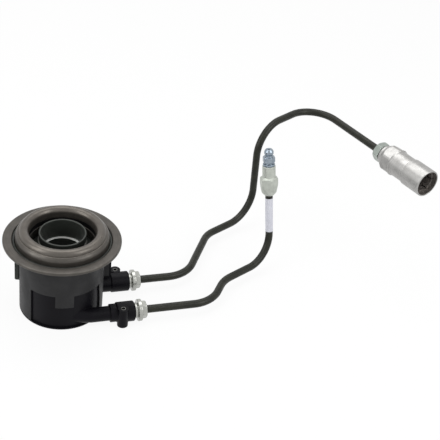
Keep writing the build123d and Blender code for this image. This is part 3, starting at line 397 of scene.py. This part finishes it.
def arcCorners(centre, radius, fromAngle, toAngle, parts):
    angles = [math.radians(fromAngle + (toAngle - fromAngle) * part / parts) for part in range(parts + 1)]
    return [(centre[0] + radius * math.cos(angle), centre[1] + radius * math.sin(angle))
            for angle in angles]


def flatRadius(angle, flats):
    # Distance from the axis to the wrench flats in one direction
    share = (angle - math.radians(flats["turn"])) % (math.pi / 3) - math.pi / 6
    return flats["apothem"] / math.cos(share)


def softSmaller(first, second, blend):
    # The smaller of two radii, with the edge between them rounded over a blend
    overlap = max(blend - abs(first - second), 0.0) / blend
    return min(first, second) - overlap * overlap * blend / 4


def lathe(name, spec, axis):
    # A point on the axis closes the form there as a pole, and the outline closes on itself
    outline = smoothOutline(spec["corners"], spec.get("longest", plainLongest))
    flats = spec.get("flats")
    steps = spec.get("steps", plainSteps)
    form = bmesh.new()
    rings = []
    for radius, station in outline:
        ring = []
        onFlats = (flats and flats["from"] < station < flats["to"]
                   and radius > flats["apothem"] * flatReach)
        for step in range(steps if radius > 0 else 1):
            angle = 2 * math.pi * step / steps
            reach = softSmaller(radius, flatRadius(angle, flats), flatBlend) if onFlats else radius
            ring.append(form.verts.new((reach * math.cos(angle), reach * math.sin(angle), station)))
        rings.append(ring * (steps // len(ring)))
    for lower, upper in zip(rings, rings[1:] + rings[:1]):
        for step in range(steps):
            after = (step + 1) % steps
            loop = list(dict.fromkeys((lower[step], lower[after], upper[after], upper[step])))
            if len(loop) > 2:
                form.faces.new(loop)
    bmesh.ops.recalc_face_normals(form, faces=form.faces)
    mesh = bpy.data.meshes.new(name)
    form.to_mesh(mesh)
    form.free()
    mesh.transform(axis @ Matrix.Scale(mm, 4))
    mesh.shade_smooth()
    mesh.set_sharp_from_angle(angle=math.radians(spec.get("sharp", plainSharp)))
    return mesh


def addPiece(name, mesh, body, finishNames, replaced=()):
    # Every piece's object stays at the origin, unturned, with its place in the mesh
    piece = bpy.data.objects.new(name, mesh)
    bpy.context.scene.collection.objects.link(piece)
    dress(piece, finishNames)
    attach(piece, body)
    if replaced:
        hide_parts(*replaced)
    return piece


# In these outlines, "flats" are a hexagon between two stations, and "second" is the zone of stations and
# radii whose faces take the piece's second finish
contactRing = {  # two stepped beads over a deep skirt, with the raceway inside
    "corners": ([(26.0, 67.3, 0.4), (28.4, 67.3, 0.3), (28.4, 68.5), (33.3, 68.5, 0.5)]
                + arcCorners((31.6, 62.0), 3.4, 60, -20.67, 10) + [(35.5, 60.8, 0.3), (36.8, 62.4, 0.8)]
                + arcCorners((32.4, 68.0), 4.4, 0, 62, 12) + [(33.9, 71.75, 0.5)]
                + arcCorners((30.0, 71.9), 3.95, 6, 180, 22)),
    # the top bead's faces take the lighter steel, a painted highlight
    "second": {"stations": (71.75, 76.0), "radii": (26.0, 40.0)}, "steps": 144, "sharp": 50,
}
bearingCup = {  # pressed sheet: floor, cone, wall, wide flange with a turned-down rim
    "corners": [(28.2, 55.6, 0.3), (34.2, 55.6, 1.6), (40.2, 61.6, 1.6), (40.2, 64.6, 0.5),
                (45.0, 64.6, 0.5), (45.0, 63.6, 0.3), (46.4, 63.6, 0.5), (46.4, 66.0, 1.9),
                (38.8, 66.0, 1.5), (38.8, 62.18, 0.8), (33.62, 57.0, 0.8), (28.2, 57.0, 0.3)],
    "steps": 144, "sharp": 50,
}
grooveShield = {  # thin steel ring in the groove between cup and contact ring
    "corners": [(36.95, 62.45), (38.78, 62.45), (38.78, 64.9, 0.2), (38.3, 65.3, 0.3), (37.3, 65.1, 0.3),
                (36.95, 64.7, 0.2)],
    "steps": 144,
}
innerRace = {  # fixed race under the balls
    "corners": [(25.9, 57.0, 0.5), (32.4, 57.0, 0.3), (32.4, 58.55, 0.2), (29.6, 59.1), (28.5, 60.7),
                (28.25, 62.0), (28.35, 63.0, 0.2), (25.9, 63.0, 0.6)],
    "steps": 144,
}
guideSleeve = {  # flanged tube with a groove for the stop ring and a ledge inside, bare metal painted bright as a highlight
    "corners": [(15.3, 0.0, 0.6), (23.0, 0.0, 0.4), (23.0, 2.5, 0.4), (18.6, 2.5), (18.6, 63.85),
                (18.0, 63.85), (18.0, 65.35), (18.6, 65.35), (18.6, 71.5, 0.75), (17.1, 71.5, 0.75),
                (17.1, 55.0, 0.15), (15.3, 55.0, 0.4)],
    # the ledge's face takes the near-white steel, a painted highlight
    "second": {"stations": (54.7, 55.05), "radii": (15.0, 24.0)},
}
lineFitting = {  # stations from the port's end face: spigot, lead ring, flange, tapered hexagon
    "corners": [(1.6, -14.0), (5.1, -14.0, 0.5), (5.1, 0.0), (6.3, 0.0, 0.3), (6.3, 1.7, 0.3), (5.3, 1.7),
                (5.3, 2.4), (8.95, 2.4, 0.35), (8.95, 5.4, 0.4), (7.7, 5.6, 0.1), (7.15, 9.1, 0.3),
                (6.7, 9.5, 0.2), (3.27, 9.5, 0.2), (3.27, 1.6), (1.6, 1.6)],
    "flats": {"apothem": 6.3, "turn": 0, "from": 5.7, "to": 9.6}, "longest": 0.4,
}
couplerNut = {  # stations along the coupler, as in its other pieces
    "corners": [(3.27, 4.8), (6.9, 4.8, 0.5), (8.95, 6.5, 0.6), (8.95, 11.3, 0.3), (8.3, 12.0, 0.3),
                (5.0, 12.0), (5.0, 8.8), (3.27, 8.8)],
    "flats": {"apothem": 7.8, "turn": 0, "from": 4.7, "to": 12.1}, "longest": 0.4,
}
couplerBody = {  # spigot, neck, wide part with wrench flats, plain part, spigot under the sleeve
    "corners": [(2.2, 9.02), (4.98, 9.02), (4.98, 12.1), (6.8, 12.1), (6.8, 13.1), (8.7, 13.1, 0.4),
                (8.7, 16.2, 0.3), (10.2, 16.4, 0.3), (12.5, 20.2, 1.4), (12.5, 28.6, 0.5), (11.35, 29.4, 0.4),
                (11.2, 44.7, 0.25), (10.9, 45.0), (9.6, 45.0), (9.6, 50.0), (6.4, 50.0), (6.4, 24.0),
                (2.2, 24.0)],
    "flats": {"apothem": 11.3, "turn": 30, "from": 16.6, "to": 28.7}, "longest": 0.5,
}
couplerSleeve = {  # plain outside; the bore of the mouth behind the latch ring is painted dark brown as shade in the recess
    "corners": [(9.62, 45.02), (11.7, 45.02, 0.2), (12.15, 45.5, 0.3), (12.15, 65.9, 0.4),
                (11.75, 66.3, 0.3), (10.9, 66.3, 0.35), (10.9, 50.0), (9.62, 50.0)],
    # the mouth's bore takes the dark brown finish, painted shade
    "second": {"stations": (50.5, 67.0), "radii": (9.0, 10.95)},
}
bleederAdapter = {  # stations along the riser: taper up to a hexagon, then a plain neck
    "corners": [(3.27, 61.8), (4.3, 61.8, 0.5), (6.4, 64.4, 1.6), (8.1, 72.4, 3.0), (8.1, 77.2, 0.8),
                (5.7, 78.8, 0.8), (5.7, 88.9, 0.5), (3.55, 88.9), (3.55, 74.0), (1.1, 74.0), (1.1, 69.2),
                (3.27, 69.2)],
    "flats": {"apothem": 7.0, "turn": 0, "from": 61.7, "to": 78.9}, "longest": 0.5, "sharp": 60,
}
bleedScrew = {  # needle, thread, collar, hexagon and the hose nipple, with a blind bore
    "corners": [(0.0, 74.05), (1.1, 74.05), (3.5, 75.65), (3.5, 88.95), (5.2, 88.95, 0.5), (5.2, 90.9, 0.5),
                (3.6, 90.9, 0.4), (3.6, 92.3, 0.2), (4.8, 92.3, 0.3), (5.5, 93.0, 0.4), (5.5, 96.5, 0.4),
                (4.8, 97.2, 0.3), (3.4, 97.2, 0.3), (3.2, 98.6, 0.4), (4.05, 99.9, 0.9), (4.05, 101.9, 1.2),
                (2.9, 103.85, 0.6), (1.1, 103.85, 0.3), (1.1, 75.0), (0.0, 75.0)],
    "flats": {"apothem": 4.76, "turn": 0, "from": 92.2, "to": 97.3}, "longest": 0.4, "sharp": 60, "steps": 96,
}

turnedPieces = {  # outline, axis, body, slot, finishes and the CAD node that each stands in for
    "contactRing": (contactRing, upright, "contact", "bearing_steel", ["phosphatedSteel", "paintedHighlightSteel"],
                    "contact_ring"),
    "bearingCup": (bearingCup, upright, "bearing_slide", "bearing_steel", ["phosphatedSteel"], "bearing_cup"),
    "grooveShield": (grooveShield, upright, "bearing_slide", "bearing_steel", ["oxidedSteel"], "groove_seal"),
    "innerRace": (innerRace, upright, "bearing_slide", "bearing_steel", ["phosphatedSteel"], "inner_race"),
    "guideSleeve": (guideSleeve, upright, "cylinder", "guide_steel", ["oxidedSteel", "machinedLedgeHighlight"],
                    "guide_sleeve"),
    "feedFitting": (lineFitting, feedPort, "cylinder", "turned_aluminium", ["feedAluminium"], "feed_fitting"),
    "bleedFitting": (lineFitting, bleedPort, "cylinder", "turned_aluminium", ["bleedAluminium"],
                     "bleed_fitting"),
    "couplerNut": (couplerNut, coupler, "cylinder", "coupler_aluminium", ["zincNickel"], "coupler_nut"),
    "couplerBody": (couplerBody, coupler, "cylinder", "coupler_aluminium", ["tumbledAluminium"],
                    "coupler_body"),
    "couplerSleeve": (couplerSleeve, coupler, "cylinder", "coupler_aluminium",
                      ["tumbledAluminium", "temperedSheetAndMouthShade"], "coupler_sleeve"),
    "bleederAdapter": (bleederAdapter, riser, "cylinder", "zinc_plate", ["platedSteel"], "bleeder_adapter"),
    "bleedScrew": (bleedScrew, riser, "bleed_screw", "zinc_plate", ["bluePassivate"], "bleed_screw"),
}


def paintZone(piece, axis, zone):
    # Faces whose centres lie in the zone take the second finish
    toLocal = axis.inverted()
    for face in piece.data.polygons:
        local = toLocal @ face.center / mm
        inStations = zone["stations"][0] < local.z < zone["stations"][1]
        inRadii = zone["radii"][0] < local.xy.length < zone["radii"][1]
        if inStations and inRadii:
            face.material_index = 1


for name, (spec, axis, body, slotName, finishNames, nodeName) in turnedPieces.items():
    piece = addPiece(name, lathe(name, spec, axis), body, finishNames, [nodeName])
    if "second" in spec:
        paintZone(piece, axis, spec["second"])
for nodeName, spec in mouldedPieces.items():
    addPiece(nodeName + "Moulded", softened(nodeName, spec), spec["body"],
             [cadFinishes[nodeName]], [nodeName])
print("stage: turned pieces made")


# Geometry Nodes for what follows a path or repeats

def newTree(name, sockets):
    tree = bpy.data.node_groups.new(name, "GeometryNodeTree")
    tree.interface.new_socket("Geometry", in_out="INPUT", socket_type="NodeSocketGeometry")
    for label, kind in sockets.items():
        tree.interface.new_socket(label, in_out="INPUT", socket_type="NodeSocket" + kind)
    tree.interface.new_socket("Geometry", in_out="OUTPUT", socket_type="NodeSocketGeometry")
    return tree, tree.nodes.new("NodeGroupInput").outputs


def endTree(tree, geometry, material):
    # Every tree ends in shading, real geometry and its finish
    smooth = addNode(tree, "GeometryNodeSetShadeSmooth", None, {"Geometry": geometry})
    real = addNode(tree, "GeometryNodeRealizeInstances", None, {"Geometry": smooth.outputs[0]})
    painted = addNode(tree, "GeometryNodeSetMaterial", None,
                      {"Geometry": real.outputs[0], "Material": material})
    addNode(tree, "NodeGroupOutput", None, {0: painted.outputs[0]})


def grow(name, tree, values, start=None):
    # Runs the tree once on a seed object and keeps only the mesh
    start = bpy.data.meshes.new(name + "Start") if start is None else start
    seed = bpy.data.objects.new(name + "Seed", start)
    bpy.context.scene.collection.objects.link(seed)
    modifier = seed.modifiers.new("grow", "NODES")
    modifier.node_group = tree
    for item in tree.interface.items_tree:
        if item.in_out == "INPUT" and item.name in values:
            modifier[item.identifier] = values[item.name]
    settled = seed.evaluated_get(bpy.context.evaluated_depsgraph_get())
    mesh = bpy.data.meshes.new_from_object(settled)
    mesh.name = name
    bpy.data.objects.remove(seed)
    return mesh


def formedPipeTree():
    tree, given = newTree("formedPipe", {"Pipe Radius": "Float", "Parts Per Bend": "Int", "Sides": "Int",
                                         "Finish": "Material"})
    path = addNode(tree, "GeometryNodeMeshToCurve", None, {"Mesh": given["Geometry"]})
    bend = addNode(tree, "GeometryNodeInputNamedAttribute", {"data_type": "FLOAT"}, {"Name": "bendRadius"})
    rounded = addNode(tree, "GeometryNodeFilletCurve", {"mode": "POLY"},
                      {"Curve": path.outputs[0], "Radius": bend.outputs[0], "Count": given["Parts Per Bend"]})
    circle = addNode(tree, "GeometryNodeCurvePrimitiveCircle", None,
                     {"Resolution": given["Sides"], "Radius": given["Pipe Radius"]})
    pipe = addNode(tree, "GeometryNodeCurveToMesh", None,
                   {"Curve": rounded.outputs[0], "Profile Curve": circle.outputs[0], "Fill Caps": True})
    endTree(tree, pipe.outputs[0], given["Finish"])
    return tree


def routeMesh(name, route):
    corners = [Vector(corner) * mm for corner in route["corners"]]
    mesh = bpy.data.meshes.new(name + "Route")
    mesh.from_pydata(corners, [(index, index + 1) for index in range(len(corners) - 1)], [])
    bends = mesh.attributes.new("bendRadius", "FLOAT", "POINT")
    bends.data.foreach_set("value", [0.0] + [bend * mm for bend in route["bends"]] + [0.0])
    return mesh


formedPipe = {"Pipe Radius": 3.25 * mm, "Parts Per Bend": 20, "Sides": 40,
              "Finish": finishes["dippedCoating"]}
pipeTree = formedPipeTree()
for pipeName, nodeName in (("feedLine", "feed_line"), ("bleedLine", "bleed_line")):
    pipeMesh = grow(pipeName, pipeTree, formedPipe, routeMesh(pipeName, routes[pipeName]))
    addPiece(pipeName, pipeMesh, "cylinder", ["dippedCoating"], [nodeName])


def ballRingTree():
    tree, given = newTree("ballRing", {"Circle Radius": "Float", "Ball Radius": "Float", "Balls": "Int",
                                       "Height": "Float", "Segments": "Int", "Rings": "Int",
                                       "Finish": "Material"})
    circle = addNode(tree, "GeometryNodeMeshCircle", None,
                     {"Vertices": given["Balls"], "Radius": given["Circle Radius"]})
    ball = addNode(tree, "GeometryNodeMeshUVSphere", None,
                   {"Segments": given["Segments"], "Rings": given["Rings"],
                    "Radius": given["Ball Radius"]})
    placed = addNode(tree, "GeometryNodeInstanceOnPoints", None,
                     {"Points": circle.outputs[0], "Instance": ball.outputs[0]})
    lift = addNode(tree, "ShaderNodeCombineXYZ", None, {"Z": given["Height"]})
    raised = addNode(tree, "GeometryNodeTransform", None,
                     {"Geometry": placed.outputs[0], "Translation": lift.outputs[0]})
    endTree(tree, raised.outputs[0], given["Finish"])
    return tree


ballRing = {"Circle Radius": 31.6 * mm, "Ball Radius": 3.2 * mm, "Balls": 16, "Height": 62.0 * mm,
            "Segments": 28, "Rings": 16, "Finish": finishes["lappedSteel"]}
addPiece("ballRing", grow("ballRing", ballRingTree(), ballRing), "cage", ["lappedSteel"],
         ["balls"])


def coilTree():
    tree, given = newTree("coilSpring", {"Coil Radius": "Float", "Wire Radius": "Float", "Length": "Float",
                                         "Turns": "Float", "Parts Per Turn": "Int", "Sides": "Int",
                                         "Finish": "Material"})
    helix = addNode(tree, "GeometryNodeCurveSpiral", None,
                    {"Resolution": given["Parts Per Turn"], "Rotations": given["Turns"],
                     "Start Radius": given["Coil Radius"], "End Radius": given["Coil Radius"],
                     "Height": given["Length"]})
    wire = addNode(tree, "GeometryNodeCurvePrimitiveCircle", None,
                   {"Resolution": given["Sides"], "Radius": given["Wire Radius"]})
    coil = addNode(tree, "GeometryNodeCurveToMesh", None,
                   {"Curve": helix.outputs[0], "Profile Curve": wire.outputs[0], "Fill Caps": True})
    endTree(tree, coil.outputs[0], given["Finish"])
    return tree


springFit = {"from": 24.02, "to": 42.98, "wire": 0.5, "stroke": 4.0}  # mm; the stroke is the valve's
springLength = springFit["to"] - springFit["from"]
valveSpring = {"Coil Radius": 4.4 * mm, "Wire Radius": springFit["wire"] * mm, "Turns": 4.5,
               "Length": (springLength - 2 * springFit["wire"]) * mm, "Parts Per Turn": 48, "Sides": 14,
               "Finish": finishes["springSteel"]}
springMesh = grow("valveSpring", coilTree(), valveSpring)
springMesh.transform(coupler @ Matrix.Translation((0, 0, (springFit["from"] + springFit["wire"]) * mm)))
spring = addPiece("valveSpring", springMesh, "cylinder", ["springSteel"],
                  ["coupler_valve_spring"])
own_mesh(spring)


def threadTree():
    # Ridges of an internal thread, one helix in each copy
    tree, given = newTree("threadRidges", {"Bore Radius": "Float", "Ridge Radius": "Float", "Length": "Float",
                                           "Turns": "Float", "Parts Per Turn": "Int", "Sides": "Int",
                                           "Copies": "Int", "Circle Radius": "Float", "First Angle": "Float",
                                           "Foot": "Float", "Finish": "Material"})
    helix = addNode(tree, "GeometryNodeCurveSpiral", None,
                    {"Resolution": given["Parts Per Turn"], "Rotations": given["Turns"],
                     "Start Radius": given["Bore Radius"], "End Radius": given["Bore Radius"],
                     "Height": given["Length"]})
    section = addNode(tree, "GeometryNodeCurvePrimitiveCircle", None,
                      {"Resolution": given["Sides"], "Radius": given["Ridge Radius"]})
    ridge = addNode(tree, "GeometryNodeCurveToMesh", None,
                    {"Curve": helix.outputs[0], "Profile Curve": section.outputs[0], "Fill Caps": True})
    circle = addNode(tree, "GeometryNodeMeshCircle", None,
                     {"Vertices": given["Copies"], "Radius": given["Circle Radius"]})
    placed = addNode(tree, "GeometryNodeInstanceOnPoints", None,
                     {"Points": circle.outputs[0], "Instance": ridge.outputs[0]})
    turn = addNode(tree, "ShaderNodeCombineXYZ", None, {"Z": given["First Angle"]})
    lift = addNode(tree, "ShaderNodeCombineXYZ", None, {"Z": given["Foot"]})
    aimed = addNode(tree, "GeometryNodeTransform", None,
                    {"Geometry": placed.outputs[0], "Rotation": turn.outputs[0],
                     "Translation": lift.outputs[0]})
    endTree(tree, aimed.outputs[0], given["Finish"])
    return tree


insertThread = {"Bore Radius": 2.1 * mm, "Ridge Radius": 0.2 * mm, "Length": 6.2 * mm, "Turns": 7.75,
                "Parts Per Turn": 24, "Sides": 6, "Copies": 3, "Circle Radius": 27.3 * mm,
                "First Angle": math.radians(100), "Foot": 0.4 * mm, "Finish": finishes["turnedBrass"]}
addPiece("insertThreads", grow("insertThreads", threadTree(), insertThread), "cylinder",
         ["turnedBrass"])
print("stage: pipes, balls, spring and threads made")


# Bare label film, wrapped once round the bleed line with a short lap

wrappedLabel = {  # mm and degrees; the film rises over its own start where it laps
    "innerRadius": 3.28, "film": 0.072, "from": 26.8, "to": 58.6, "seamAngle": 200, "lapAngle": 35,
    "riseFrom": 340, "riseOver": 20, "steps": 80,
}


def wrapLabel(spec):
    form = bmesh.new()
    sections = []
    for step in range(spec["steps"] + 1):
        turn = (360 + spec["lapAngle"]) * step / spec["steps"]
        angle = math.radians(turn + spec["seamAngle"])
        rise = min(1.0, max(0.0, (turn - spec["riseFrom"]) / spec["riseOver"]))
        inner = spec["innerRadius"] + spec["film"] * rise
        outer = inner + spec["film"]
        corners = [(inner, spec["from"]), (outer, spec["from"]), (outer, spec["to"]), (inner, spec["to"])]
        sections.append([form.verts.new((reach * math.cos(angle), reach * math.sin(angle), station))
                         for reach, station in corners])
    for near, far in zip(sections, sections[1:]):
        for side, after in ((0, 1), (1, 2), (2, 3), (3, 0)):
            form.faces.new((near[side], near[after], far[after], far[side]))
    form.faces.new(sections[0])
    form.faces.new(sections[-1])
    bmesh.ops.recalc_face_normals(form, faces=form.faces)
    mesh = bpy.data.meshes.new("labelFilm")
    form.to_mesh(mesh)
    form.free()
    mesh.transform(riser @ Matrix.Scale(mm, 4))
    mesh.shade_smooth()
    mesh.set_sharp_from_angle(angle=math.radians(plainSharp))
    return mesh


addPiece("labelFilm", wrapLabel(wrappedLabel), "cylinder", ["polyesterFilm"], ["label_sleeve"])


# Soft studio light and a pale floor

lamps = {  # watts, width and height in metres, place, and the point that each looks at
    "softboxLeft": {"watts": 3.5, "size": (0.5, 0.8), "place": (-0.75, -0.15, 0.55), "aim": (0.05, 0, 0.05)},
    "softboxRight": {"watts": 4.5, "size": (0.6, 0.8), "place": (0.75, -0.65, 0.75),
                     "aim": (0.12, 0, 0.05)},
    "softboxTop": {"watts": 4.5, "size": (1.0, 0.7), "place": (0.05, 0.35, 1.0), "aim": (0.12, 0, 0.0)},
}
studio = {  # half the floor's side in metres, light that the sky gives, share of the floor that glows white
    "floorHex": "f0f0f0", "floorHalf": 12.0, "ambient": 0.55, "floorGlow": 0.91,
}


def makeLamp(name, spec):
    light = bpy.data.lights.new(name, "AREA")
    light.shape = "RECTANGLE"
    light.size, light.size_y = spec["size"]
    light.energy = spec["watts"]
    lamp = bpy.data.objects.new(name, light)
    lamp.location = spec["place"]
    lamp.rotation_euler = (Vector(spec["aim"]) - Vector(spec["place"])).to_track_quat("-Z", "Y").to_euler()
    bpy.context.scene.collection.objects.link(lamp)


def raySeesBackground(tree):
    # 1 for camera, glossy and transmission rays, so that metal shows the white ground too
    path = addNode(tree, "ShaderNodeLightPath")
    first = addNode(tree, "ShaderNodeMath", {"operation": "MAXIMUM"},
                    {0: path.outputs["Is Camera Ray"], 1: path.outputs["Is Glossy Ray"]})
    return addNode(tree, "ShaderNodeMath", {"operation": "MAXIMUM"},
                   {0: first.outputs[0], 1: path.outputs["Is Transmission Ray"]}).outputs[0]


def makeStudio(spec):
    world = bpy.data.worlds.new("studio")
    bpy.context.scene.world = world
    world.use_nodes = True
    tree = world.node_tree
    tree.nodes.clear()
    strength = addNode(tree, "ShaderNodeMapRange", None,
                       {"Value": raySeesBackground(tree), "To Min": spec["ambient"], "To Max": 1.0})
    sky = addNode(tree, "ShaderNodeBackground", None,
                  {"Color": (1, 1, 1, 1), "Strength": strength.outputs[0]})
    addNode(tree, "ShaderNodeOutputWorld", None, {"Surface": sky.outputs[0]})
    material, tree = newMaterial("paleFloor")
    matt = addNode(tree, "ShaderNodeBsdfDiffuse", None, {"Color": linear(spec["floorHex"])})
    glow = addNode(tree, "ShaderNodeEmission", None, {"Color": (1, 1, 1, 1), "Strength": 1.0})
    share = addNode(tree, "ShaderNodeMath", {"operation": "MULTIPLY"},
                    {0: raySeesBackground(tree), 1: spec["floorGlow"]})
    mixed = addNode(tree, "ShaderNodeMixShader", None,
                    {0: share.outputs[0], 1: matt.outputs[0], 2: glow.outputs[0]})
    addNode(tree, "ShaderNodeOutputMaterial", None, {"Surface": mixed.outputs[0]})
    half = spec["floorHalf"]
    mesh = bpy.data.meshes.new("floor")
    mesh.from_pydata([(-half, -half, 0), (half, -half, 0), (half, half, 0), (-half, half, 0)], [],
                     [(0, 1, 2, 3)])
    mesh.materials.append(material)
    floor = bpy.data.objects.new("floor", mesh)
    bpy.context.scene.collection.objects.link(floor)


for lampName, lampSpec in lamps.items():
    makeLamp(lampName, lampSpec)
makeStudio(studio)
bpy.context.scene.view_settings.view_transform = "Standard"
print("stage: studio made")
